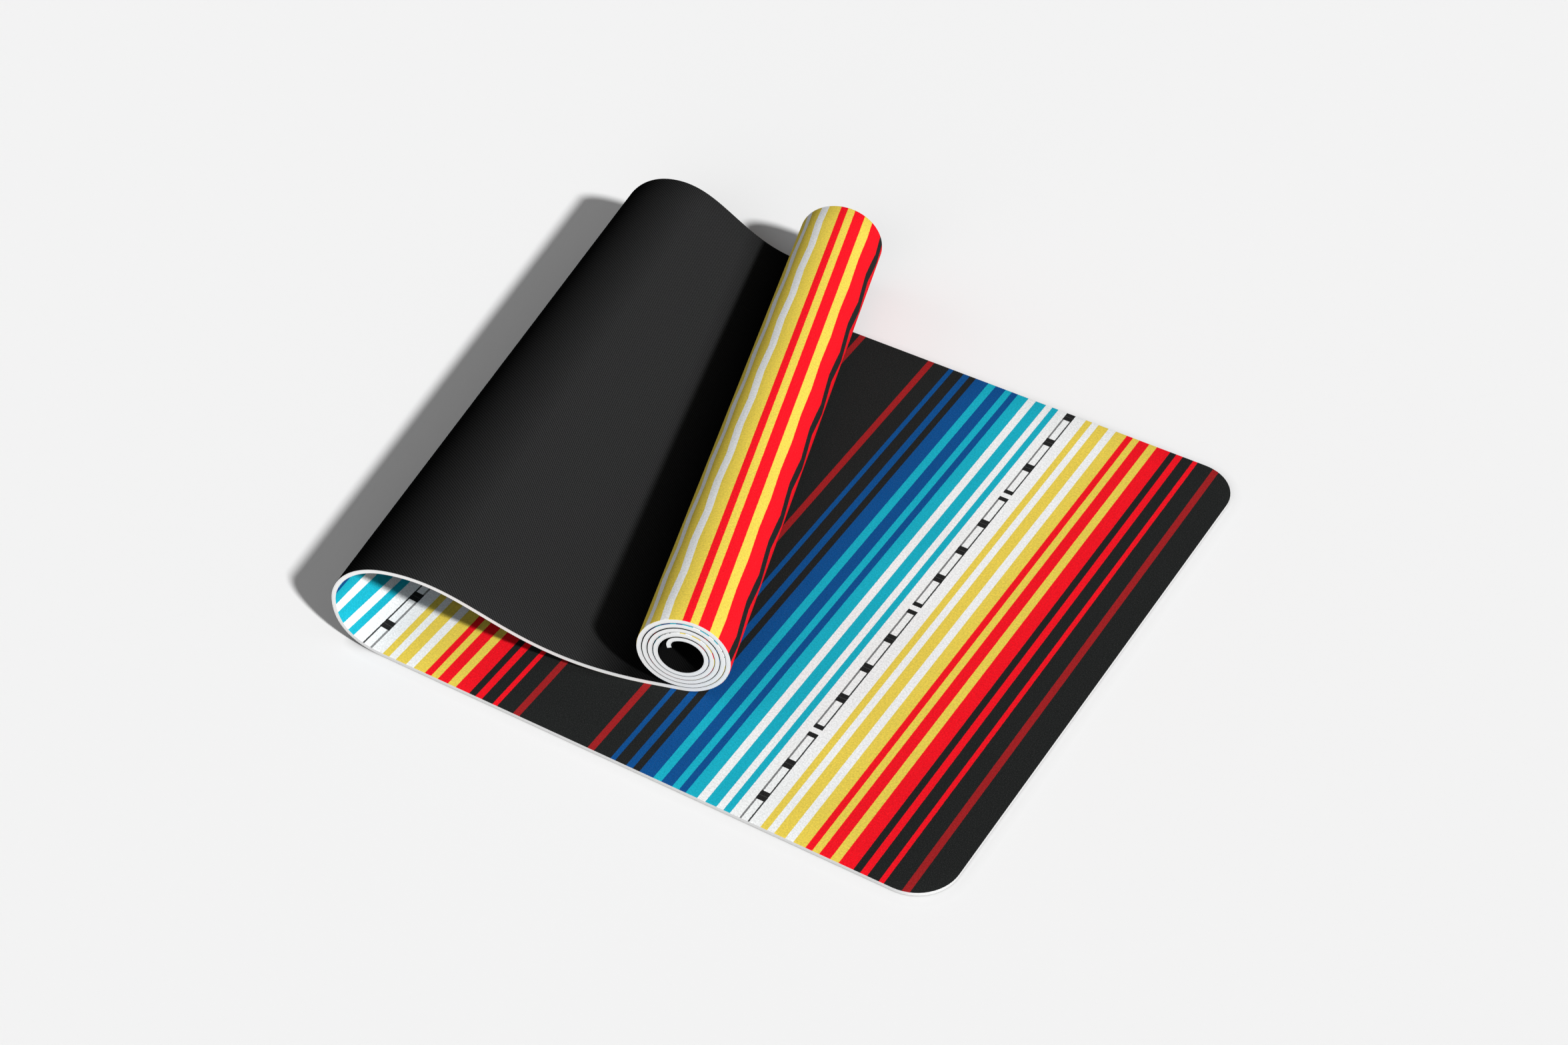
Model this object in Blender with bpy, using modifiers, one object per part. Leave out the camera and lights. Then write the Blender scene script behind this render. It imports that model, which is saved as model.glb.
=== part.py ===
# A yoga mat lying half unrolled. Its free end lies flat, the middle is folded back over it in a soft
# open fold, and the other end is wound up in a roll that rests on the flat run.
#
# The mat is one strip of three bonded layers: a printed face, a cushion core and a grip backing.
# Every layer is a skin of straight rulings that run from the near long edge to the far one.
# The strip is folded on a slight slant, so the flap comes back at twice that angle to the flat run,
# and the roll is turned a little more. The fold opens and closes on a hinge line at its outermost
# ruling, where each layer is parted.
#
# Metres, Z up. X runs along the flat run to the free end and Y across it.

import math

import bmesh
import bpy
from mathutils import Vector
from mathutils.geometry import interpolate_bezier

OBJECT_NAME = "yoga_mat"

# Driving sizes of the strip, in metres
MAT_WIDTH = 0.610
CORNER_RADIUS = 0.041
FACE_THICKNESS = 0.0004
CORE_THICKNESS = 0.0027
BACKING_THICKNESS = 0.0009
BOND_GAP = 0.0003
SEAT_GAP = 0.0003
HINGE_GAP = 0.0003

# The fold, measured square to its slanted rulings
FOLD_SLANT = math.radians(8.3)
FLAT_LENGTH = 0.558
FOLD_OUTREACH = 0.050
WAIST_HEIGHT = 0.040
CREST_HEIGHT = 0.0795
CREST_SETBACK = 0.049
FAR_CREST_RISE = 0.007
SLOPE_REACH = 0.238
LIFT_HANDLE = 0.035
WAIST_LOW_HANDLE = 0.024
WAIST_HIGH_HANDLE = 0.0165
CREST_HANDLE = 0.033
SLOPE_TOP_HANDLE_SHARE = 0.345
SLOPE_FOOT_HANDLE_SHARE = 0.58

# The roll, measured on its printed outer face
ROLL_SLANT = math.radians(17.2)
NEAR_LEAD = 0.0315
FAR_LEAD = 0.0095
ROLL_RADIUS = 0.0454
ROLL_PITCH = 0.00505
ROLL_TURNS = 4.56
LIP_RADIUS = 0.0105
LIP_SWEEP = math.radians(92.0)

# Counts
CORNER_STEPS = 8
FOLD_STEPS = 10
SLOPE_STEPS = 14
ROLL_STEPS_PER_TURN = 32
LIP_STEPS = 8

# Worked out from the sizes above
FULL_THICKNESS = FACE_THICKNESS + CORE_THICKNESS + BACKING_THICKNESS + 2 * BOND_GAP
ACROSS_FOLD = Vector((math.cos(FOLD_SLANT), math.sin(FOLD_SLANT), 0))
ALONG_FOLD = Vector((-math.sin(FOLD_SLANT), math.cos(FOLD_SLANT), 0))
ALONG_FLAP = Vector((math.cos(2 * FOLD_SLANT), math.sin(2 * FOLD_SLANT), 0))
ACROSS_ROLL = Vector((math.cos(ROLL_SLANT), math.sin(ROLL_SLANT), 0))
ALONG_ROLL = Vector((-math.sin(ROLL_SLANT), math.cos(ROLL_SLANT), 0))
UP = Vector((0, 0, 1))

# Each layer's name, depth below the printed face, thickness, colour and roughness
LAYERS = (
    ("face", 0, FACE_THICKNESS, (0.62, 0.022, 0.03), 0.85),
    ("core", FACE_THICKNESS + BOND_GAP, CORE_THICKNESS, (0.83, 0.83, 0.82), 0.8),
    ("backing", FULL_THICKNESS - BACKING_THICKNESS, BACKING_THICKNESS, (0.012, 0.012, 0.013), 0.7),
)


def clear_scene():
    for old in list(bpy.data.objects):
        bpy.data.objects.remove(old, do_unlink=True)


def part_collection():
    collection = bpy.data.collections.new(OBJECT_NAME)
    bpy.context.scene.collection.children.link(collection)
    return collection


def layer_material(name, colour, roughness):
    material = bpy.data.materials.new(name)
    material.use_nodes = True
    shader = material.node_tree.nodes["Principled BSDF"]
    shader.inputs["Base Color"].default_value = (*colour, 1)
    shader.inputs["Roughness"].default_value = roughness
    shader.inputs["Metallic"].default_value = 0
    return material


def curve_points(start, start_handle, end_handle, end, steps):
    """Points of one Bezier stretch of the fold's section, as (across, up) pairs."""
    return interpolate_bezier(start, start_handle, end_handle, end, steps + 1)


def lower_fold_section():
    """From where the flat run lifts off to the fold's outermost ruling."""
    lift = Vector((-FLAT_LENGTH, FULL_THICKNESS))
    waist = Vector((-FLAT_LENGTH - FOLD_OUTREACH, FULL_THICKNESS + WAIST_HEIGHT))
    return curve_points(
        lift,
        lift - Vector((LIFT_HANDLE, 0)),
        waist - Vector((0, WAIST_LOW_HANDLE)),
        waist,
        FOLD_STEPS,
    )


def upper_fold_section(crest_height, slope_reach):
    """From the outermost ruling over the crest and down to where the flap touches the flat run."""
    waist = Vector((-FLAT_LENGTH - FOLD_OUTREACH, FULL_THICKNESS + WAIST_HEIGHT + HINGE_GAP))
    crest = Vector((waist.x + CREST_SETBACK, FULL_THICKNESS + crest_height))
    touch = Vector((crest.x + slope_reach, FULL_THICKNESS + SEAT_GAP))
    rise = curve_points(
        waist,
        waist + Vector((0, WAIST_HIGH_HANDLE)),
        crest - Vector((CREST_HANDLE, 0)),
        crest,
        FOLD_STEPS,
    )
    slope = curve_points(
        crest,
        crest + Vector((slope_reach * SLOPE_TOP_HANDLE_SHARE, 0)),
        touch - Vector((slope_reach * SLOPE_FOOT_HANDLE_SHARE, 0)),
        touch,
        SLOPE_STEPS,
    )
    return rise + slope[1:]


def section_lengths(points, start):
    """The length along the section at each of its points."""
    lengths = [start]
    for before, after in zip(points, points[1:]):
        lengths.append(lengths[-1] + (after - before).length)
    return lengths


def on_fold(point, length, across_mat):
    """A point of the slanted fold: the strip's edges drift along the rulings as they go round."""
    along = length * math.tan(FOLD_SLANT) + across_mat / math.cos(FOLD_SLANT)
    return point[0] * ACROSS_FOLD + along * ALONG_FOLD + point[1] * UP


def fold_rulings(near_section, far_section, near_start, far_start):
    near_lengths = section_lengths(near_section, near_start)
    far_lengths = section_lengths(far_section, far_start)
    rulings = []
    for near, far, near_length, far_length in zip(near_section, far_section, near_lengths, far_lengths):
        rulings.append((on_fold(near, near_length, 0), on_fold(far, far_length, MAT_WIDTH)))
    return rulings, near_lengths[-1], far_lengths[-1]


def free_end_rulings():
    """The flat run's end, with its two corners rounded."""
    rulings = []
    for step in range(CORNER_STEPS + 1):
        angle = math.pi / 2 * step / CORNER_STEPS
        x = CORNER_RADIUS * (math.cos(angle) - 1)
        inset = CORNER_RADIUS * (1 - math.sin(angle))
        rulings.append(
            (Vector((x, inset, FULL_THICKNESS)), Vector((x, MAT_WIDTH - inset, FULL_THICKNESS)))
        )
    return rulings


def roll_outwards(angle):
    """The roll's outward direction at an angle of its winding, which starts at the bottom."""
    return math.sin(angle) * ACROSS_ROLL - math.cos(angle) * UP


def least_turn_gap(winding):
    """The least clear gap from one turn to the next, between the flats of the winding's steps."""
    flat_share = math.cos(math.pi / ROLL_STEPS_PER_TURN)
    next_turn = winding[ROLL_STEPS_PER_TURN:]
    spacing = min((outer - inner).length for outer, inner in zip(winding, next_turn))
    return spacing * flat_share - FULL_THICKNESS


def roll_rulings(start):
    """The winding inwards from where the flap's near edge meets it, with the curled lip at its end."""
    centre = start + ROLL_RADIUS * UP
    steps = round(ROLL_TURNS * ROLL_STEPS_PER_TURN)
    end_angle = 2 * math.pi * ROLL_TURNS
    winding = []
    for step in range(steps + 1):
        angle = end_angle * step / steps
        radius = ROLL_RADIUS - ROLL_PITCH * angle / (2 * math.pi)
        winding.append(centre + radius * roll_outwards(angle))
    print("least gap between turns", round(least_turn_gap(winding), 5))
    lip_centre = winding[-1] - LIP_RADIUS * roll_outwards(end_angle)
    lip = []
    for step in range(1, LIP_STEPS + 1):
        angle = end_angle + LIP_SWEEP * step / LIP_STEPS
        lip.append(lip_centre + LIP_RADIUS * roll_outwards(angle))
    return [(point, point + MAT_WIDTH * ALONG_ROLL) for point in winding + lip]


def flat_run_rulings():
    """The printed face of the flat run, from the free end to the fold's outermost ruling."""
    section = lower_fold_section()
    fold, near_length, far_length = fold_rulings(section, section, FLAT_LENGTH, FLAT_LENGTH)
    return free_end_rulings() + fold, near_length, far_length


def rolled_end_rulings(near_start, far_start):
    """The printed face from the fold's outermost ruling, over the crest, to the lip inside the roll."""
    slant_across_mat = MAT_WIDTH * math.sin(ROLL_SLANT - FOLD_SLANT)
    far_reach = SLOPE_REACH + NEAR_LEAD - slant_across_mat - FAR_LEAD
    near_section = upper_fold_section(CREST_HEIGHT, SLOPE_REACH)
    far_section = upper_fold_section(CREST_HEIGHT + FAR_CREST_RISE, far_reach)
    fold, _, _ = fold_rulings(near_section, far_section, near_start + HINGE_GAP, far_start + HINGE_GAP)
    near_touch = fold[-1][0]
    roll_start = near_touch + NEAR_LEAD / math.cos(FOLD_SLANT) * ALONG_FLAP
    return fold + roll_rulings(roll_start)


def box_centre(rulings):
    """The middle of the mat's box on the floor. Its far left edge is the fold's backing."""
    points = [point for ruling in rulings for point in ruling]
    left = min(point.x for point in points) - FULL_THICKNESS * math.cos(FOLD_SLANT)
    right = max(point.x for point in points)
    near = min(point.y for point in points)
    far = max(point.y for point in points)
    return Vector(((left + right) / 2, (near + far) / 2, 0))


def skin_mesh(name, rulings, origin):
    """An open surface through the rulings, with its normals on the printed side."""
    mesh = bpy.data.meshes.new(name)
    surface = bmesh.new()
    rows = [(surface.verts.new(near - origin), surface.verts.new(far - origin)) for near, far in rulings]
    for before, after in zip(rows, rows[1:]):
        surface.faces.new((before[0], before[1], after[1], after[0]))
    surface.to_mesh(mesh)
    surface.free()
    mesh.shade_smooth()
    return mesh


def add_layer(collection, section_name, layer, rulings, origin, parent):
    """One bonded layer: the printed face's surface, thickened at its own depth below that face."""
    layer_name, depth, thickness, colour, roughness = layer
    name = f"{section_name}_{layer_name}"
    mesh = skin_mesh(name, rulings, origin)
    mesh.materials.append(layer_material(name, colour, roughness))
    piece = bpy.data.objects.new(name, mesh)
    collection.objects.link(piece)
    piece.parent = parent
    solidify = piece.modifiers.new("thickness", "SOLIDIFY")
    solidify.thickness = thickness
    solidify.offset = -1 - 2 * depth / thickness
    solidify.use_even_offset = True
    solidify.use_quality_normals = True
    return piece


def add_empty(collection, name, location, parent):
    empty = bpy.data.objects.new(name, None)
    empty.location = location
    empty.parent = parent
    collection.objects.link(empty)
    return empty


def hinge_point(near_length):
    """Where the fold's outermost ruling meets the near edge, on the outside of the backing."""
    waist = (
        -FLAT_LENGTH - FOLD_OUTREACH - FULL_THICKNESS,
        FULL_THICKNESS + WAIST_HEIGHT + HINGE_GAP / 2,
    )
    return on_fold(waist, near_length, 0)


def build():
    clear_scene()
    collection = part_collection()
    flat_run, near_length, far_length = flat_run_rulings()
    rolled_end = rolled_end_rulings(near_length, far_length)
    middle = box_centre(flat_run + rolled_end)
    hinge = hinge_point(near_length)
    mat = add_empty(collection, "mat_origin", Vector((0, 0, 0)), None)
    fold_hinge = add_empty(collection, "fold_hinge", hinge - middle, mat)
    for layer in LAYERS:
        add_layer(collection, "flat_run", layer, flat_run, middle, mat)
        add_layer(collection, "rolled_end", layer, rolled_end, hinge, fold_hinge)
    print("fold hinge at", *(round(value, 5) for value in hinge - middle))
    print("hinge direction", *(round(value, 5) for value in ALONG_FOLD))


build()
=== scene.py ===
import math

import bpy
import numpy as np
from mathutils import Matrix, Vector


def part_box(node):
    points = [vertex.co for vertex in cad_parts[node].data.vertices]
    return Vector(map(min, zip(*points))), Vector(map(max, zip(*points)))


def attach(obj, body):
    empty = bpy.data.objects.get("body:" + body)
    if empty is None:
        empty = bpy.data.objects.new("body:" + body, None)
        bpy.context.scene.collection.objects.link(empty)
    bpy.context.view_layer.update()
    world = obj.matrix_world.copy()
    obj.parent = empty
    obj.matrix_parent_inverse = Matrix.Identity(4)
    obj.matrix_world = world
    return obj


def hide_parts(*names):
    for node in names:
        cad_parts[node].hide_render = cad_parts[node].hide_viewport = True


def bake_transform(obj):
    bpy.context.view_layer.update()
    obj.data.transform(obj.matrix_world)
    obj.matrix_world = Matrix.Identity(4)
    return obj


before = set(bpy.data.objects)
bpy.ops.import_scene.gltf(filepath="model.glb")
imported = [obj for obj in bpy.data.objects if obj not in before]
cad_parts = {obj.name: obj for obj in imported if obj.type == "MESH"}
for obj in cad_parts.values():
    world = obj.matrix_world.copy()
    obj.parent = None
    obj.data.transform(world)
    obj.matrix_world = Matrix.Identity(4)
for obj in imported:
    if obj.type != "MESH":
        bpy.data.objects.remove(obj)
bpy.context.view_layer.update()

# A yoga mat lying half unrolled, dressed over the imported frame.
# The mat is one strip of three bonded layers. It is rebuilt here as a grid that runs along the
# strip from its free end, over the fold and into the roll, more finely than in the solids.
# Every point knows its place on the flat strip, and the materials are drawn from that place.
# Metres, Z up. X runs along the flat run to the free end and Y across it.

# The strip
MAT_WIDTH = 0.610
CORNER_RADIUS = 0.041
FULL_THICKNESS = 0.0046
EDGE_ROUNDING = 0.00026
SEAT_GAP = 0.0003

# The fold, measured square to its slanted rulings
FOLD_SLANT = math.radians(8.3)
FLAT_LENGTH = 0.558
FOLD_OUTREACH = 0.050
WAIST_HEIGHT = 0.040
CREST_HEIGHT = 0.0795
CREST_SETBACK = 0.049
FAR_CREST_RISE = 0.007
SLOPE_REACH = 0.238
LIFT_HANDLE = 0.035
WAIST_LOW_HANDLE = 0.024
WAIST_HIGH_HANDLE = 0.0165
CREST_HANDLE = 0.033
SLOPE_TOP_HANDLE_SHARE = 0.345
SLOPE_FOOT_HANDLE_SHARE = 0.58

# The roll, measured on its printed outer face. The turns sag a little, so that they touch at the
# bottom and stand apart at the top.
ROLL_SLANT = math.radians(17.2)
NEAR_LEAD = 0.0291
FAR_LEAD = 0.0071
ROLL_RADIUS = 0.0454
ROLL_PITCH = 0.00505
ROLL_TURNS = 4.56
TURN_SAG = 0.00040
LIP_RADIUS = 0.0105
LIP_SWEEP = math.radians(92.0)

# Counts of the grid
CORNER_STEPS = 14
FLAT_STEPS = 24
FOLD_STEPS = 36
SLOPE_STEPS = 64
LEAD_STEPS = 6
STEPS_PER_TURN = 96
LIP_STEPS = 24
COLUMNS = 20

# How far in from the cut edge the grid's rim columns lie
RIM = (0.0, 0.00009, 0.00032)

# Each layer's name, top and bottom depth under the printed face, and whether those are outside
LAYERS = (
    ("face", 0.0, 0.00060, True, False),
    ("core", 0.00062, 0.00368, False, False),
    ("backing", 0.00370, FULL_THICKNESS, False, True),
)
# The bond line that shows on the cut edge: its depth, and half its width
BOND_DEPTH = 0.00368
BOND_HALF = 0.00022

# The print repeats along the strip. Each stripe is the distance from the free end at which it
# ends, in millimetres, and its colour.
MILLIMETRE = 0.001
PRINT_PERIOD = 0.3904
STRIPES = (
    (25.8, "black"), (32.4, "maroon"), (49.0, "black"), (53.7, "red"), (64.8, "black"),
    (71.5, "red"), (78.1, "black"), (92.2, "red"), (100.3, "yellow"), (111.0, "red"),
    (117.9, "yellow"), (124.5, "red"), (136.3, "yellow"), (144.2, "white"), (155.1, "yellow"),
    (162.0, "white"), (168.7, "yellow"), (198.9, "white"), (205.6, "teal"), (212.5, "white"),
    (223.7, "teal"), (231.8, "white"), (243.5, "teal"), (250.3, "blue"), (257.2, "teal"),
    (268.2, "blue"), (276.5, "teal"), (290.6, "blue"), (297.5, "black"), (304.3, "blue"),
    (315.6, "black"), (320.5, "blue"), (337.6, "black"), (344.4, "maroon"), (390.4, "black"),
)
PRINT_COLOURS = {
    "black": (0.0128, 0.0140, 0.0137),
    "maroon": (0.340, 0.0135, 0.0155),
    "red": (0.900, 0.0055, 0.0150),
    "yellow": (0.822, 0.630, 0.0850),
    "white": (0.885, 0.900, 0.898),
    "teal": (0.0080, 0.425, 0.555),
    "blue": (0.0030, 0.0745, 0.267),
}

# The ornament is a chain of white cells between two thin lines, parted by black blocks.
# Millimetres again: the lines along the strip, then the chain's repeat across the mat.
INK = (0.0140, 0.0145, 0.0145)
CHAIN_REPEAT = 177.0
CHAIN_START = 89.0
CHAIN_BREAK = 30.0
CHAIN_BREAK_HALF = 3.0
# A whole block is a little lighter along its middle
BLOCK_SPLIT_HALF = 0.35
BLOCK_SPLIT_LIGHT = 0.04
# Each line's middle, then its half width and ink in the strip's first repeat and in its second
CHAIN_LINES = ((180.65, (0.72, 0.96), (0.95, 0.74)), (188.55, (0.90, 0.72), (0.78, 0.95)))
# Each block's middle and half width: the whole ones first, then the two beside the break
CHAIN_BLOCKS = ((76.0, 5.4), (119.0, 5.4), (161.8, 5.4), (24.4, 2.6), (35.6, 2.6))
WHOLE_BLOCKS = 3
STRIPE_SOFTNESS = 0.35

# Where the print runs unevenly: millimetres of the strip against millimetres of the print, and
# turns of the roll against millimetres of the print.
STRIP_PRINT = (
    (0.0, 0.0), (415.8, 415.8), (484.7, 482.6), (539.0, 534.6), (565.0, 559.1),
    (597.7, 589.3), (632.2, 622.2), (1100.0, 1069.4),
)
ROLL_PRINT = (
    (0.0, 4.0), (0.19, 64.0), (0.255, 71.5), (0.294, 78.1), (0.399, 100.3), (0.441, 111.0),
    (0.543, 136.3), (0.646, 162.0), (0.66, 165.0), (0.73, 166.0), (1.00, 240.0), (1.08, 168.0),
    (1.23, 168.0), (1.68, 296.0), (2.24, 296.0),
    (2.38, 341.0), (2.64, 419.0), (2.70, 442.0), (2.765, 452.0), (3.28, 511.0), (3.585, 575.0),
    (3.765, 632.0), (4.22, 705.0), (4.33, 731.0), (5.20, 800.0),
)

# On the roll the print strays in a zigzag across the mat: its length and start across the mat, then
# where along the strip it is widest, how far from there it fades out, and how far it strays.
ZIGZAG_LENGTH = 0.080
ZIGZAG_START = 0.024
ZIGZAGS = ((1.069, 0.034, 0.0020), (1.152, 0.020, -0.0011), (1.183, 0.028, 0.0026))

# Scales are in noise cells per metre. Each set of tones maps a range of the texture, its first two
# numbers, to a range of brightness, its last two. A bump is a strength and a depth.

# The printed fabric: its edges bleed a little, and it has a pebbled nap, soft clouds and pale lint
PRINT_BLEED_SCALE = 420.0
PRINT_BLEED = 0.0006
PEBBLE_SCALE = 520.0
NAP_SCALE = 1500.0
GRAIN_TONES = (0.32, 0.68, 0.71, 1.27)
CLOUD_SCALE = 14.0
CLOUD_TONES = (0.3, 0.7, 0.965, 1.02)
LINT_SCALE = 1250.0
LINT_TONES = (0.50, 0.74, 0.0, 0.028)
SUEDE_BUMP = (0.7, 0.0008)

# The cut edge's foam
FOAM_COLOUR = (0.835, 0.835, 0.83)
FOAM_CELL_SCALE = 2600.0
FOAM_CELL_TONES = (0.30, 0.62, 0.84, 1.03)
FOAM_LUMP_SCALE = 700.0
FOAM_LUMP_TONES = (0.3, 0.7, 0.97, 1.01)
BOND_TONE = 0.80
# Painted shade on the free end's cut edge, which faces the key light
FREE_END_PAINTED_SHADE = 0.86
FOAM_BUMP = (0.4, 0.0002)

# The backing's twill of ribs crossed by fainter threads
BACKING_COLOUR = (0.0240, 0.0242, 0.0245)
RIBS_PER_METRE = 325
THREADS_PER_METRE = 420
THREAD_SHARE = 0.28
WEAVE_DRIFT_SCALE = 260.0
WEAVE_DRIFT = 2.4
GRIT_SCALE = 1300.0
GRIT_HEIGHT = 3.2
WEAVE_TONES = (0.1, 3.1, 0.38, 1.54)
WEAVE_BUMP = (0.7, 0.00016)

# Painted shade on the backing, in a band on the back of the fold and from the slope's foot on into
# the roll: the places along the strip between which its tone changes, and the tones.
FOLD_PAINTED_SHADE = ((0.590, 0.645, 1.0, 0.20), (0.676, 0.750, 0.20, 1.0))
ROLL_PAINTED_SHADE = (0.893, 0.944, 1.0, 0.20)

# The camera and the light
CAMERA_AZIMUTH = math.radians(31.07)
CAMERA_ELEVATION = math.radians(43.09)
CAMERA_PLACE = (1.03620, -1.72141, 1.86756)
CAMERA_LENS_MM = 66.68
SENSOR_MM = 36.0
# Each lamp's name, strength, width in degrees and the direction its light travels in
LAMPS = (
    ("key", 3.97, 4.4, (-1.286, 0.438, -1.0)),
    ("front_fill", 0.785, 50.0, (-0.15, 0.90, -0.40)),
    ("side_fill", 0.470, 50.0, (0.90, 0.25, -0.33)),
)
SKY_STRENGTH = 0.07
BACKDROP_COLOUR = 0.9
FLOOR_COLOUR = 0.925
# How much of the light on it the floor throws back up onto the object
FLOOR_BOUNCE = 0.45
FLOOR_SIZE = 60.0
# How far out from the mat's edge the floor is shaded by it, and its tone right under the mat
CONTACT_REACH = 0.012
CONTACT_TONE = 0.45

ACROSS_FOLD = np.array((math.cos(FOLD_SLANT), math.sin(FOLD_SLANT), 0.0))
ALONG_FOLD = np.array((-math.sin(FOLD_SLANT), math.cos(FOLD_SLANT), 0.0))
ALONG_FLAP = np.array((math.cos(2 * FOLD_SLANT), math.sin(2 * FOLD_SLANT), 0.0))
ACROSS_ROLL = np.array((math.cos(ROLL_SLANT), math.sin(ROLL_SLANT), 0.0))
ALONG_ROLL = np.array((-math.sin(ROLL_SLANT), math.cos(ROLL_SLANT), 0.0))
UP = np.array((0.0, 0.0, 1.0))

# The corner of the flat run where its free end meets the near edge, on top of the mat
run_low, run_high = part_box("flat_run_face")
ORIGIN = np.array((run_high[0], run_low[1], FULL_THICKNESS))


def unit(vectors):
    return vectors / np.linalg.norm(vectors, axis=-1, keepdims=True)


def bezier(start, start_handle, end_handle, end, steps):
    share = np.linspace(0, 1, steps + 1)[:, None]
    rest = 1 - share
    return (
        rest**3 * np.array(start)
        + 3 * rest**2 * share * np.array(start_handle)
        + 3 * rest * share**2 * np.array(end_handle)
        + share**3 * np.array(end)
    )


def fold_section(crest_height, slope_reach):
    """The fold from where the strip lifts off to where it touches down, as (across, up)."""
    waist = -FLAT_LENGTH - FOLD_OUTREACH
    crest = waist + CREST_SETBACK
    touch = crest + slope_reach
    rise = bezier(
        (-FLAT_LENGTH, 0),
        (-FLAT_LENGTH - LIFT_HANDLE, 0),
        (waist, WAIST_HEIGHT - WAIST_LOW_HANDLE),
        (waist, WAIST_HEIGHT),
        FOLD_STEPS,
    )
    turn = bezier(
        (waist, WAIST_HEIGHT),
        (waist, WAIST_HEIGHT + WAIST_HIGH_HANDLE),
        (crest - CREST_HANDLE, crest_height),
        (crest, crest_height),
        FOLD_STEPS,
    )
    slope = bezier(
        (crest, crest_height),
        (crest + slope_reach * SLOPE_TOP_HANDLE_SHARE, crest_height),
        (touch - slope_reach * SLOPE_FOOT_HANDLE_SHARE, SEAT_GAP),
        (touch, SEAT_GAP),
        SLOPE_STEPS,
    )
    return np.concatenate((rise, turn[1:], slope[1:]))


def section_lengths(section):
    steps = np.linalg.norm(np.diff(section, axis=0), axis=1)
    return FLAT_LENGTH + np.concatenate(((0,), np.cumsum(steps)))


def on_fold(section, lengths, across_mat):
    along = lengths * math.tan(FOLD_SLANT) + across_mat / math.cos(FOLD_SLANT)
    return section[:, :1] * ACROSS_FOLD + along[:, None] * ALONG_FOLD + section[:, 1:] * UP


def fold_rulings():
    """The near and far ends of the fold's rulings, with their places along the strip."""
    slant_across_mat = MAT_WIDTH * math.sin(ROLL_SLANT - FOLD_SLANT)
    far_reach = SLOPE_REACH + NEAR_LEAD - slant_across_mat - FAR_LEAD
    near_section = fold_section(CREST_HEIGHT, SLOPE_REACH)
    far_section = fold_section(CREST_HEIGHT + FAR_CREST_RISE, far_reach)
    near_lengths = section_lengths(near_section)
    far_lengths = section_lengths(far_section)
    near = on_fold(near_section, near_lengths, 0)
    far = on_fold(far_section, far_lengths, MAT_WIDTH)
    near_place = near_lengths / math.cos(FOLD_SLANT)
    far_place = far_lengths / math.cos(FOLD_SLANT) + MAT_WIDTH * math.tan(FOLD_SLANT)
    return near, far, near_place, far_place


def roll_outwards(angle):
    return np.sin(angle)[..., None] * ACROSS_ROLL - np.cos(angle)[..., None] * UP


def roll_line(start):
    """The near edge of the winding and its lip, with the turn at each of its points."""
    centre = start + ROLL_RADIUS * UP
    end_angle = 2 * math.pi * ROLL_TURNS
    angle = np.linspace(0, end_angle, round(ROLL_TURNS * STEPS_PER_TURN) + 1)
    turns = angle / (2 * math.pi)
    radius = ROLL_RADIUS - ROLL_PITCH * turns + TURN_SAG * turns * np.cos(angle)
    winding = centre + radius[:, None] * roll_outwards(angle)
    end_outwards = roll_outwards(np.array(end_angle))
    lip_centre = winding[-1] - LIP_RADIUS * end_outwards
    lip_angle = end_angle + np.linspace(0, LIP_SWEEP, LIP_STEPS + 1)[1:]
    lip = lip_centre + LIP_RADIUS * roll_outwards(lip_angle)
    lip_turns = lip_angle / (2 * math.pi)
    return np.concatenate((winding, lip)), np.concatenate((turns, lip_turns))


def lerp_rows(before, after, steps):
    """Rows between two rows, without the first and with the last."""
    share = np.linspace(0, 1, steps + 1)[1:]
    share = share.reshape((-1,) + (1,) * np.ndim(before))
    return before + share * (np.asarray(after) - before)


def strip_print(place):
    strip, along = np.array(STRIP_PRINT).T * MILLIMETRE
    return np.interp(place, strip, along)


def roll_print(turns):
    turn, along = np.array(ROLL_PRINT).T
    return np.interp(turns, turn, along * MILLIMETRE)


def corner_rows():
    """The free end's outline and inward directions, from its tip round to the long edges."""
    angle = np.linspace(0, math.pi / 2, CORNER_STEPS + 1)
    side, forward, flat = np.sin(angle), np.cos(angle), np.zeros_like(angle)
    near_centre = np.array((-CORNER_RADIUS, CORNER_RADIUS, 0.0))
    far_centre = np.array((-CORNER_RADIUS, MAT_WIDTH - CORNER_RADIUS, 0.0))
    near_outwards = np.stack((forward, -side, flat), -1)
    far_outwards = np.stack((forward, side, flat), -1)
    near = near_centre + CORNER_RADIUS * near_outwards
    far = far_centre + CORNER_RADIUS * far_outwards
    return near, far, -near_outwards, -far_outwards


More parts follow.
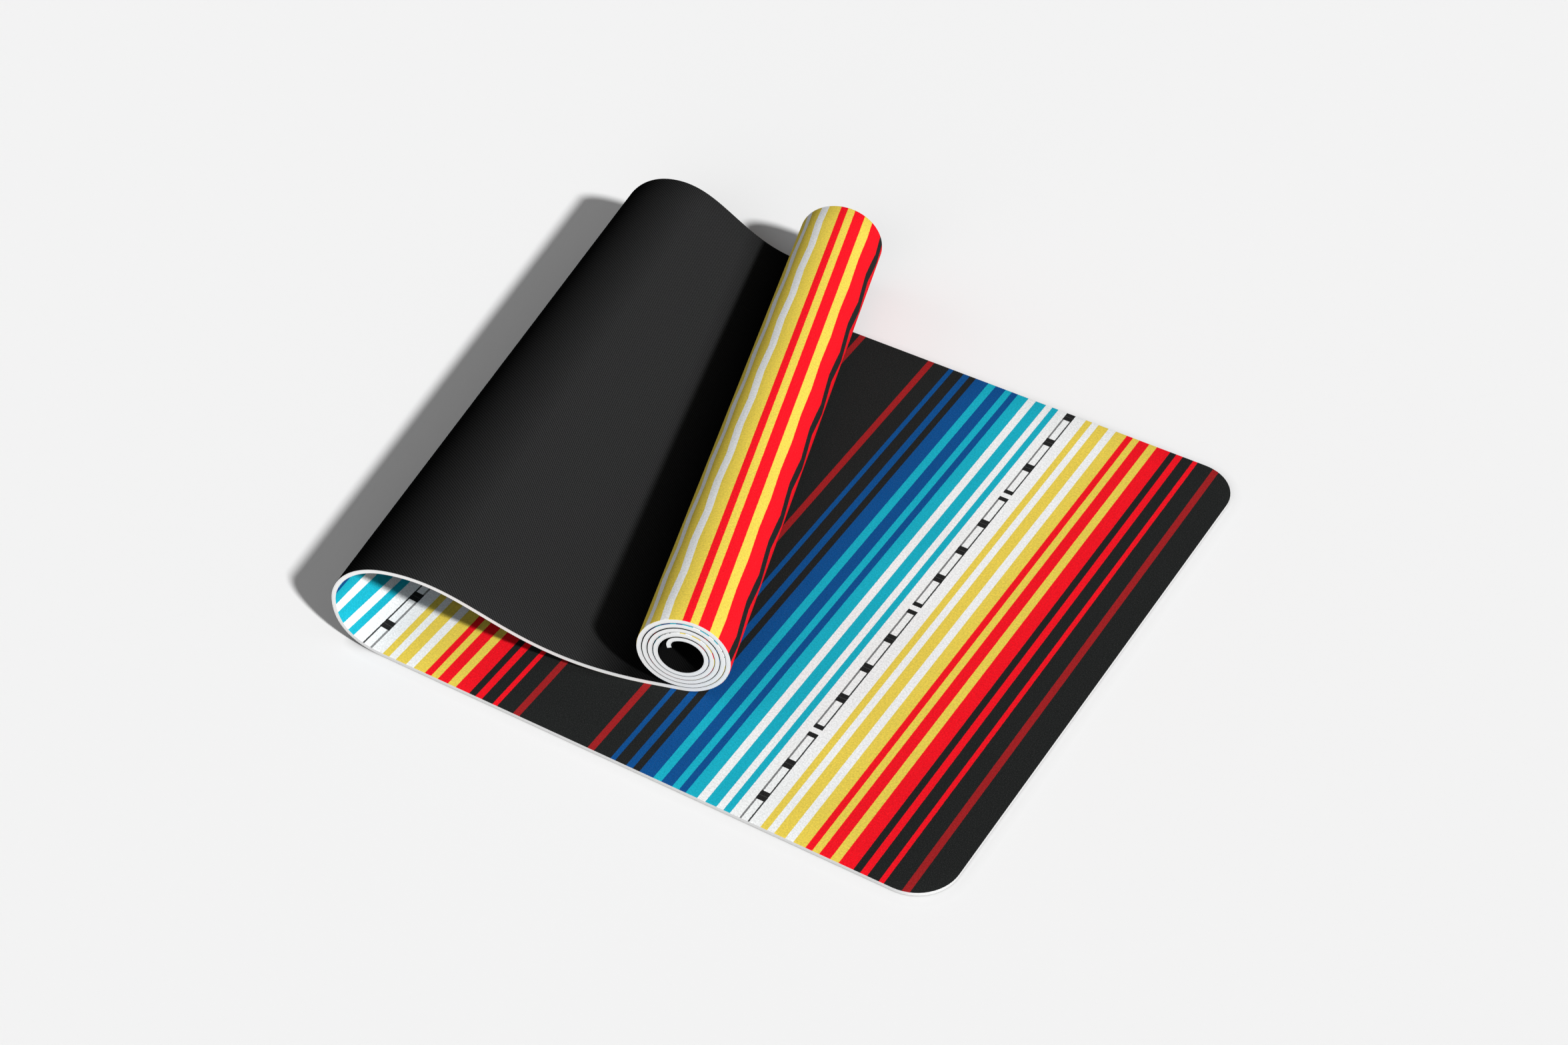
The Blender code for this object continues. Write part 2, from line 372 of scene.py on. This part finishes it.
def strip_rows():
    """The rulings of the whole strip: near and far points, inward directions and places."""
    near_corner, far_corner, near_inwards, far_inwards = corner_rows()
    near_fold, far_fold, near_place, far_place = fold_rulings()
    near_flat = lerp_rows(near_corner[-1], near_fold[0], FLAT_STEPS)
    far_flat = lerp_rows(far_corner[-1], far_fold[0], FLAT_STEPS)
    start = near_fold[-1] + NEAR_LEAD / math.cos(FOLD_SLANT) * ALONG_FLAP
    start_place = near_place[-1] + NEAR_LEAD / math.cos(FOLD_SLANT)
    winding, turns = roll_line(start)
    wound_far = winding + MAT_WIDTH * ALONG_ROLL
    near_lead = lerp_rows(near_fold[-1], winding[0], LEAD_STEPS)
    far_lead = lerp_rows(far_fold[-1], wound_far[0], LEAD_STEPS)
    near = np.concatenate((near_corner, near_flat, near_fold[1:], near_lead, winding[1:]))
    far = np.concatenate((far_corner, far_flat, far_fold[1:], far_lead, wound_far[1:]))
    steps = np.linalg.norm(np.diff(winding, axis=0), axis=1)
    wound_place = start_place + np.cumsum(steps)
    near_places = np.concatenate((
        -near_corner[:, 0], -near_flat[:, 0], near_place[1:],
        lerp_rows(near_place[-1], start_place, LEAD_STEPS), wound_place,
    ))
    far_places = np.concatenate((
        -far_corner[:, 0], -far_flat[:, 0], far_place[1:],
        lerp_rows(far_place[-1], start_place, LEAD_STEPS), wound_place,
    ))
    across = unit(far - near)
    near_in, far_in = across.copy(), -across
    near_in[: CORNER_STEPS + 1] = near_inwards
    far_in[: CORNER_STEPS + 1] = far_inwards
    return {
        "near": near, "far": far, "near_in": near_in, "far_in": far_in,
        "near_place": near_places, "far_place": far_places, "turns": turns[1:],
        "waist_row": CORNER_STEPS + FLAT_STEPS + FOLD_STEPS,
        "crest_row": CORNER_STEPS + FLAT_STEPS + 2 * FOLD_STEPS,
        "start_row": CORNER_STEPS + FLAT_STEPS + 2 * FOLD_STEPS + SLOPE_STEPS + LEAD_STEPS,
    }


def strip_grid(rows):
    """The printed face as a grid of points, with each point's place and normal."""
    rim = np.array(RIM)
    near_rim = rows["near"][:, None] + rim[None, :, None] * rows["near_in"][:, None]
    far_rim = rows["far"][:, None] + rim[None, ::-1, None] * rows["far_in"][:, None]
    share = np.linspace(0, 1, COLUMNS + 1)[1:-1][None, :, None]
    inner = near_rim[:, -1:] + share * (far_rim[:, :1] - near_rim[:, -1:])
    points = np.concatenate((near_rim, inner, far_rim), axis=1)
    span = np.linalg.norm(rows["far"] - rows["near"], axis=1)[:, None]
    reach = np.linalg.norm(points - rows["near"][:, None], axis=2) / span
    places = rows["near_place"][:, None] * (1 - reach) + rows["far_place"][:, None] * reach
    across = reach * MAT_WIDTH
    flat_rows = CORNER_STEPS + 1
    places[:flat_rows] = -points[:flat_rows, :, 0]
    across[:flat_rows] = points[:flat_rows, :, 1]
    along_tangent = np.gradient(points, axis=0)
    across_tangent = unit(rows["far"] - rows["near"])[:, None]
    normals = unit(np.cross(np.broadcast_to(across_tangent, points.shape), along_tangent))
    normals[: CORNER_STEPS + FLAT_STEPS + 1] = UP
    low_print = strip_print(places)
    high_print = low_print.copy()
    start = rows["start_row"]
    wound = roll_print(rows["turns"])[:, None]
    low_print[start + 1:] = wound
    high_print[start + 1:] = wound
    high_print[start] = roll_print(0)
    return {
        "points": ORIGIN + points, "normals": normals, "places": places, "across": across,
        "low_print": low_print, "high_print": high_print,
    }


def rounding_depth(inset):
    """How far the rounded cut edge falls away at a distance from the edge."""
    left = np.clip(EDGE_ROUNDING - np.asarray(inset), 0, None)
    return EDGE_ROUNDING - np.sqrt(EDGE_ROUNDING**2 - left**2)


class Skin:
    """Collects one layer's vertices and faces, with the print's place at every face corner."""

    def __init__(self):
        self.points = []
        self.strip = []
        self.faces = []
        self.prints = []
        self.finishes = []
        self.sharp = []

    def add_points(self, points, places, across, depths):
        first = len(self.points)
        flat = points.reshape(-1, 3)
        self.points.extend(flat.tolist())
        self.strip.extend(np.stack((places.ravel(), across.ravel(), depths.ravel()), -1).tolist())
        return np.arange(first, first + len(flat)).reshape(points.shape[:-1])

    def add_faces(self, corners, prints, finish):
        self.faces.extend(corners.reshape(-1, 4).tolist())
        self.prints.extend(prints.reshape(-1, 4).tolist())
        self.finishes.extend([finish] * (corners.size // 4))


def grid_corners(table):
    """The four corners of each cell, in the order that faces out of the printed side."""
    return np.stack((table[:-1, :-1], table[:-1, 1:], table[1:, 1:], table[1:, :-1]), -1)


def add_sheet(skin, grid, rows, depth, fall, outwards, has_free_end):
    """One face of a layer. Gives its vertex numbers and its outline's, in step with each other."""
    first, last = rows
    part = slice(first, last + 1)
    depths = np.full(grid["places"][part].shape, depth)
    if fall:
        rim_fall = rounding_depth(np.array(RIM)) * fall
        depths[:, : len(RIM)] += rim_fall
        depths[:, -len(RIM):] += rim_fall[::-1]
    points = grid["points"][part] - depths[..., None] * grid["normals"][part]
    numbers = skin.add_points(points, grid["places"][part], grid["across"][part], depths)
    cells = grid_corners(numbers)
    prints = grid_corners(grid["low_print"][part]).copy()
    high = grid_corners(grid["high_print"][part])
    prints[..., :2] = high[..., :2]
    if not outwards:
        cells, prints = cells[..., ::-1], prints[..., ::-1]
    skin.add_faces(cells, prints, 0)
    first_row = numbers[0]
    if has_free_end:
        first_row = add_end_rim(skin, grid, numbers, depth, fall, outwards)
    outline = np.concatenate((numbers[:0:-1, 0], first_row, numbers[1:, -1], numbers[-1, -2:0:-1]))
    return numbers, outline


def add_end_rim(skin, grid, numbers, depth, fall, outwards):
    """The narrow rounded rim along the free end, between the two corners' rims."""
    width = len(RIM)
    inner = numbers[0, width - 1: -width + 1]
    base = grid["points"][0, width: -width]
    across = grid["across"][0, width: -width]
    for step in range(width - 2, -1, -1):
        inset = RIM[step]
        points = base.copy()
        points[:, 0] = ORIGIN[0] - inset
        down = depth + rounding_depth(inset) * fall
        points[:, 2] = ORIGIN[2] - down
        places = np.full(len(points), inset)
        added = skin.add_points(points, places, across, np.full(len(points), down))
        outer = np.concatenate(((numbers[0, step],), added, (numbers[0, -1 - step],)))
        cells = grid_corners(np.stack((outer, inner)))
        cells = cells if outwards else cells[..., ::-1]
        skin.add_faces(cells, np.full(cells.shape, inset), 0)
        inner = outer
    return inner


def add_walls(skin, upper, lower):
    """The cut edge all round, between the outlines of a layer's two faces."""
    after_upper, after_lower = np.roll(upper, -1), np.roll(lower, -1)
    cells = np.stack((upper, lower, after_lower, after_upper), -1)
    skin.add_faces(cells, np.zeros(cells.shape), 1)
    skin.sharp.extend(np.stack((upper, after_upper), -1).tolist())
    skin.sharp.extend(np.stack((lower, after_lower), -1).tolist())


def skin_object(name, skin, materials, seams):
    mesh = bpy.data.meshes.new(name)
    mesh.from_pydata(skin.points, [], skin.faces)
    strip = mesh.attributes.new("strip_place", "FLOAT_VECTOR", "POINT")
    strip.data.foreach_set("vector", np.array(skin.strip).ravel())
    along = mesh.attributes.new("print_along", "FLOAT", "CORNER")
    along.data.foreach_set("value", np.array(skin.prints).ravel())
    for material in materials:
        mesh.materials.append(material)
    mesh.polygons.foreach_set("material_index", skin.finishes)
    mesh.shade_smooth()
    mark_sharp(mesh, skin.sharp)
    set_seam_normals(mesh, seams)
    piece = bpy.data.objects.new(name, mesh)
    bpy.context.collection.objects.link(piece)
    return piece


def mark_sharp(mesh, pairs):
    wanted = {tuple(sorted(pair)) for pair in pairs}
    sharp = [tuple(sorted(edge.vertices)) in wanted for edge in mesh.edges]
    flags = mesh.attributes.new("sharp_edge", "BOOLEAN", "EDGE")
    flags.data.foreach_set("value", sharp)


def set_seam_normals(mesh, seams):
    """Gives the row where two pieces meet the normals of the whole strip, on both pieces."""
    wanted = {}
    for numbers, normals in seams:
        wanted.update(zip(numbers.tolist(), normals.tolist()))
    chosen = [(0.0, 0.0, 0.0)] * len(mesh.loops)
    for polygon in mesh.polygons:
        if polygon.material_index == 0:
            for corner in polygon.loop_indices:
                normal = wanted.get(mesh.loops[corner].vertex_index)
                if normal is not None:
                    chosen[corner] = normal
    mesh.normals_split_custom_set(chosen)


def layer_piece(name, layer, grid, rows, seams, materials):
    """One layer between two of the grid's rows. A seam is 0 at its first row or -1 at its last."""
    _, top, bottom, top_outside, bottom_outside = layer
    has_free_end = 0 not in seams
    skin = Skin()
    top_fall, bottom_fall = int(top_outside), -int(bottom_outside)
    upper, upper_outline = add_sheet(skin, grid, rows, top, top_fall, True, has_free_end)
    lower, lower_outline = add_sheet(skin, grid, rows, bottom, bottom_fall, False, has_free_end)
    add_walls(skin, upper_outline, lower_outline)
    cut_rows = (-1,) if has_free_end else (0, -1)
    for row in cut_rows:
        skin.sharp.extend((upper[row, side], lower[row, side]) for side in (0, -1))
    inner = slice(len(RIM), -len(RIM))
    seam_normals = []
    for seam in seams:
        normals = grid["normals"][rows[seam]][inner]
        seam_normals.append((upper[seam][inner], normals))
        seam_normals.append((lower[seam][inner], -normals))
    return skin_object(name, skin, materials, seam_normals)


def grey(level):
    return (level, level, level, 1.0)


def opaque(colour):
    return (*colour, 1.0)


def set_input(tree, socket, value):
    if isinstance(value, bpy.types.NodeSocket):
        tree.links.new(value, socket)
    else:
        socket.default_value = value


def put(tree, kind, *values, **settings):
    """Adds a node, sets or links its inputs in order, and gives its first output."""
    made = tree.nodes.new(kind)
    for name, value in settings.items():
        setattr(made, name, value)
    for socket, value in zip(made.inputs, values):
        set_input(tree, socket, value)
    return made.outputs[0]


def maths(tree, operation, *values):
    return put(tree, "ShaderNodeMath", *values, operation=operation)


def blend_colours(tree, share, first, second, blend_type="MIX"):
    node = tree.nodes.new("ShaderNodeMix")
    node.data_type = "RGBA"
    node.blend_type = blend_type
    set_input(tree, node.inputs[0], share)
    set_input(tree, node.inputs[6], first)
    set_input(tree, node.inputs[7], second)
    return node.outputs[2]


def noise(tree, place, scale, detail=2.0, roughness=0.5):
    node = tree.nodes.new("ShaderNodeTexNoise")
    tree.links.new(place, node.inputs["Vector"])
    node.inputs["Scale"].default_value = scale
    node.inputs["Detail"].default_value = detail
    node.inputs["Roughness"].default_value = roughness
    return node.outputs["Fac"]


def within(tree, value, middle, half_width):
    """One inside a band of the print, and nothing outside it."""
    return maths(tree, "COMPARE", value, middle, half_width)


def map_range(tree, value, low, high, to_low, to_high):
    return put(tree, "ShaderNodeMapRange", value, low, high, to_low, to_high)


def bumped(tree, height, strength, distance):
    node = tree.nodes.new("ShaderNodeBump")
    node.inputs["Strength"].default_value = strength
    node.inputs["Distance"].default_value = distance
    tree.links.new(height, node.inputs["Height"])
    return node.outputs["Normal"]


def new_material(name, roughness, specular):
    material = bpy.data.materials.new(name)
    material.use_nodes = True
    shader = material.node_tree.nodes["Principled BSDF"]
    shader.inputs["Roughness"].default_value = roughness
    shader.inputs["Specular IOR Level"].default_value = specular
    return material, material.node_tree, shader


def attribute(tree, name, output):
    node = tree.nodes.new("ShaderNodeAttribute")
    node.attribute_name = name
    return node.outputs[output]


def stripe_colours(tree, along):
    """The repeat's stripes, each laid over the one before with a slightly soft edge."""
    soft = STRIPE_SOFTNESS / 2
    colour = opaque(PRINT_COLOURS[STRIPES[0][1]])
    for (edge, _), (_, name) in zip(STRIPES, STRIPES[1:]):
        passed = map_range(tree, along, edge - soft, edge + soft, 0.0, 1.0)
        colour = blend_colours(tree, passed, colour, opaque(PRINT_COLOURS[name]))
    return colour


def ornament_ink(tree, along, across, second_repeat):
    """How dark the ornament's ink is: its two lines, and the blocks that join them."""
    shifted = maths(tree, "SUBTRACT", across, CHAIN_START * MILLIMETRE)
    links = maths(tree, "DIVIDE", shifted, CHAIN_REPEAT * MILLIMETRE)
    chain = maths(tree, "MULTIPLY", maths(tree, "FRACT", links), CHAIN_REPEAT)
    line_ink = 0.0
    for middle, half_widths, inks in CHAIN_LINES:
        half_width = map_range(tree, second_repeat, 0.0, 1.0, *half_widths)
        ink = map_range(tree, second_repeat, 0.0, 1.0, *inks)
        line = maths(tree, "MULTIPLY", within(tree, along, middle, half_width), ink)
        line_ink = maths(tree, "ADD", line, line_ink)
    broken = within(tree, chain, CHAIN_BREAK, CHAIN_BREAK_HALF)
    line_ink = maths(tree, "MULTIPLY", line_ink, maths(tree, "SUBTRACT", 1.0, broken))
    block_ink = 0.0
    for middle, half_width in CHAIN_BLOCKS:
        block_ink = maths(tree, "ADD", within(tree, chain, middle, half_width), block_ink)
    for middle, _ in CHAIN_BLOCKS[:WHOLE_BLOCKS]:
        split = within(tree, chain, middle, BLOCK_SPLIT_HALF)
        lighter = maths(tree, "MULTIPLY", split, BLOCK_SPLIT_LIGHT)
        block_ink = maths(tree, "SUBTRACT", block_ink, lighter)
    (low, low_halves, _), (high, high_halves, _) = CHAIN_LINES
    bottom, top = low - min(low_halves), high + min(high_halves)
    in_chain = within(tree, along, (bottom + top) / 2, (top - bottom) / 2)
    return maths(tree, "MAXIMUM", maths(tree, "MULTIPLY", in_chain, block_ink), line_ink)


def print_zigzag(tree, along, across):
    half = ZIGZAG_LENGTH / 2
    place = maths(tree, "PINGPONG", maths(tree, "SUBTRACT", across, ZIGZAG_START), half)
    wave = map_range(tree, place, 0.0, half, 1.0, -1.0)
    size = 0.0
    for middle, reach, stray in ZIGZAGS:
        away = maths(tree, "ABSOLUTE", maths(tree, "SUBTRACT", along, middle))
        size = maths(tree, "ADD", map_range(tree, away, 0.0, reach, stray, 0.0), size)
    return maths(tree, "MULTIPLY", wave, size)


def strip_axes(tree):
    place = attribute(tree, "strip_place", "Vector")
    node = tree.nodes.new("ShaderNodeSeparateXYZ")
    tree.links.new(place, node.inputs[0])
    return place, node.outputs


def printed_material():
    """A brushed, suede-like fabric with printed stripes."""
    material, tree, shader = new_material("printed_suede", 0.9, 0.03)
    place, (along, across, _) = strip_axes(tree)
    printed = attribute(tree, "print_along", "Fac")
    printed = maths(tree, "ADD", printed, print_zigzag(tree, along, across))
    wobble = maths(tree, "SUBTRACT", noise(tree, place, PRINT_BLEED_SCALE, 3.0), 0.5)
    bleed = maths(tree, "MULTIPLY_ADD", wobble, PRINT_BLEED, printed)
    repeats = maths(tree, "DIVIDE", bleed, PRINT_PERIOD)
    in_repeat = maths(tree, "MULTIPLY", maths(tree, "FRACT", repeats), PRINT_PERIOD / MILLIMETRE)
    second_repeat = maths(tree, "GREATER_THAN", repeats, 1.0)
    ink = ornament_ink(tree, in_repeat, across, second_repeat)
    colour = blend_colours(tree, ink, stripe_colours(tree, in_repeat), opaque(INK))
    pebble = noise(tree, place, PEBBLE_SCALE, 4.0, 0.65)
    nap = noise(tree, place, NAP_SCALE, 2.0, 0.6)
    grain = maths(tree, "MULTIPLY_ADD", nap, 0.5, maths(tree, "MULTIPLY", pebble, 0.5))
    grain_light = map_range(tree, grain, *GRAIN_TONES)
    cloud_light = map_range(tree, noise(tree, place, CLOUD_SCALE), *CLOUD_TONES)
    light = maths(tree, "MULTIPLY", grain_light, cloud_light)
    colour = blend_colours(tree, 1.0, colour, light, "MULTIPLY")
    lint = map_range(tree, noise(tree, place, LINT_SCALE, 2.0, 0.6), *LINT_TONES)
    colour = blend_colours(tree, 1.0, colour, lint, "ADD")
    tree.links.new(colour, shader.inputs["Base Color"])
    tree.links.new(bumped(tree, grain, *SUEDE_BUMP), shader.inputs["Normal"])
    return material


def foam_material():
    """The off-white foamed rubber of the cut edge, with open cells and a faint bond line. It is
    greyer along the free end, in painted shade."""
    material, tree, shader = new_material("foam_edge", 0.85, 0.05)
    place, (along, _, depth) = strip_axes(tree)
    cells = noise(tree, place, FOAM_CELL_SCALE, 3.0, 0.65)
    speckle = map_range(tree, cells, *FOAM_CELL_TONES)
    patches = map_range(tree, noise(tree, place, FOAM_LUMP_SCALE), *FOAM_LUMP_TONES)
    in_bond = within(tree, depth, BOND_DEPTH, BOND_HALF)
    bond = map_range(tree, in_bond, 0.0, 1.0, 1.0, BOND_TONE)
    # Painted shade along the free end's cut edge
    free_end_painted_shade = map_range(tree, along, 0.0, CORNER_RADIUS, FREE_END_PAINTED_SHADE, 1.0)
    light = maths(tree, "MULTIPLY", bond, maths(tree, "MULTIPLY", speckle, patches))
    light = maths(tree, "MULTIPLY", light, free_end_painted_shade)
    colour = blend_colours(tree, 1.0, opaque(FOAM_COLOUR), light, "MULTIPLY")
    tree.links.new(colour, shader.inputs["Base Color"])
    tree.links.new(bumped(tree, cells, *FOAM_BUMP), shader.inputs["Normal"])
    return material


def diagonal_wave(tree, place, per_metre, drift):
    return maths(tree, "SINE", maths(tree, "MULTIPLY_ADD", place, 2 * math.pi * per_metre, drift))


def backing_material():
    """Black rubber pressed with a fine diagonal twill, with shade painted on the back of the fold
    and from the slope's foot on into the roll.
    """
    material, tree, shader = new_material("twill_rubber", 0.7, 0.0)
    place, (along, across, _) = strip_axes(tree)
    drift = maths(tree, "MULTIPLY", noise(tree, place, WEAVE_DRIFT_SCALE), WEAVE_DRIFT)
    ribs = diagonal_wave(tree, maths(tree, "ADD", along, across), RIBS_PER_METRE, drift)
    threads = diagonal_wave(tree, maths(tree, "SUBTRACT", along, across), THREADS_PER_METRE, drift)
    weave = maths(tree, "MULTIPLY_ADD", threads, THREAD_SHARE, ribs)
    grit = noise(tree, place, GRIT_SCALE, 3.0, 0.6)
    height = maths(tree, "MULTIPLY_ADD", grit, GRIT_HEIGHT, weave)
    shade = map_range(tree, height, *WEAVE_TONES)
    # The band of painted shade lies along the fold, which slants across the strip
    from_fold = maths(tree, "MULTIPLY_ADD", across, -math.tan(FOLD_SLANT), along)
    fold_painted_shade = maths(tree, "MAXIMUM", *(map_range(tree, from_fold, *tones) for tones in FOLD_PAINTED_SHADE))
    # Painted shade from the slope's foot on into the roll, under it and inside its turns
    roll_painted_shade = map_range(tree, along, *ROLL_PAINTED_SHADE)
    shade = maths(tree, "MULTIPLY", shade, maths(tree, "MULTIPLY", fold_painted_shade, roll_painted_shade))
    colour = blend_colours(tree, 1.0, opaque(BACKING_COLOUR), shade, "MULTIPLY")
    tree.links.new(colour, shader.inputs["Base Color"])
    tree.links.new(bumped(tree, height, *WEAVE_BUMP), shader.inputs["Normal"])
    return material


def mat_pieces(grid, rows):
    """Each layer in three pieces: the flat run, the fold's turn over it, and the wound rest."""
    foam = foam_material()
    finishes = {"face": printed_material(), "core": foam, "backing": backing_material()}
    waist, crest, last = rows["waist_row"], rows["crest_row"], len(rows["near"]) - 1
    for layer in LAYERS:
        name = layer[0]
        materials = (finishes[name], foam)
        run = layer_piece(f"{name}_run", layer, grid, (0, waist), (-1,), materials)
        turn = layer_piece(f"{name}_turn", layer, grid, (waist, crest), (0, -1), materials)
        wound = layer_piece(f"{name}_wound", layer, grid, (crest, last), (0,), materials)
        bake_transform(run)
        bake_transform(turn)
        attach(wound, "rolled_end")
        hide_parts(f"flat_run_{name}")
        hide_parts(f"rolled_end_{name}")
        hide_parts(f"rolled_end_{name}")


def seen_directly(tree):
    """One where the camera sees a thing itself, or sees it in a glossy or clear surface."""
    path = tree.nodes.new("ShaderNodeLightPath")
    seen = maths(tree, "MAXIMUM", path.outputs["Is Camera Ray"], path.outputs["Is Glossy Ray"])
    return maths(tree, "MAXIMUM", seen, path.outputs["Is Transmission Ray"])


def add_floor():
    half = FLOOR_SIZE / 2
    mesh = bpy.data.meshes.new("floor")
    corners = ((-half, -half, 0), (half, -half, 0), (half, half, 0), (-half, half, 0))
    mesh.from_pydata(corners, [], [(0, 1, 2, 3)])
    floor = bpy.data.objects.new("floor", mesh)
    bpy.context.collection.objects.link(floor)
    material, tree, shader = new_material("pale_floor", 1.0, 0.0)
    colour = blend_colours(tree, seen_directly(tree), grey(FLOOR_BOUNCE), grey(FLOOR_COLOUR))
    # An ambient occlusion node paints contact shade into the floor's colour beside and under the mat
    contact = tree.nodes.new("ShaderNodeAmbientOcclusion")
    contact.inputs["Distance"].default_value = CONTACT_REACH
    shade = map_range(tree, contact.outputs["AO"], 0.0, 1.0, CONTACT_TONE, 1.0)
    colour = blend_colours(tree, 1.0, colour, shade, "MULTIPLY")
    tree.links.new(colour, shader.inputs["Base Color"])
    mesh.materials.append(material)


def add_world():
    """A soft fill for the object, and a pale backdrop wherever the camera sees past the floor."""
    world = bpy.data.worlds.new("studio")
    world.use_nodes = True
    bpy.context.scene.world = world
    tree = world.node_tree
    fill = tree.nodes["Background"]
    fill.inputs["Color"].default_value = grey(1.0)
    fill.inputs["Strength"].default_value = SKY_STRENGTH
    pale = tree.nodes.new("ShaderNodeBackground")
    pale.inputs["Color"].default_value = grey(BACKDROP_COLOUR)
    pale.inputs["Strength"].default_value = 1.0
    mix = put(tree, "ShaderNodeMixShader", seen_directly(tree), fill.outputs[0], pale.outputs[0])
    tree.links.new(mix, tree.nodes["World Output"].inputs["Surface"])


def add_lamps():
    for name, strength, width, (x, y, z) in LAMPS:
        light = bpy.data.lights.new(name, "SUN")
        light.energy = strength
        light.angle = math.radians(width)
        lamp = bpy.data.objects.new(name, light)
        bpy.context.collection.objects.link(lamp)
        down = math.atan2(math.hypot(x, y), -z)
        turn = math.atan2(y, x)
        lamp.rotation_euler = (0.0, -down, turn)


def add_camera():
    data = bpy.data.cameras.new("camera")
    data.lens = CAMERA_LENS_MM
    data.sensor_width = SENSOR_MM
    data.sensor_fit = "HORIZONTAL"
    camera = bpy.data.objects.new("camera", data)
    bpy.context.collection.objects.link(camera)
    camera.location = CAMERA_PLACE
    camera.rotation_euler = (math.pi / 2 - CAMERA_ELEVATION, 0.0, CAMERA_AZIMUTH)
    bpy.context.scene.camera = camera


add_camera()
add_lamps()
add_world()
add_floor()
strip = strip_rows()
mat_pieces(strip_grid(strip), strip)
bpy.context.scene.view_settings.view_transform = "Standard"
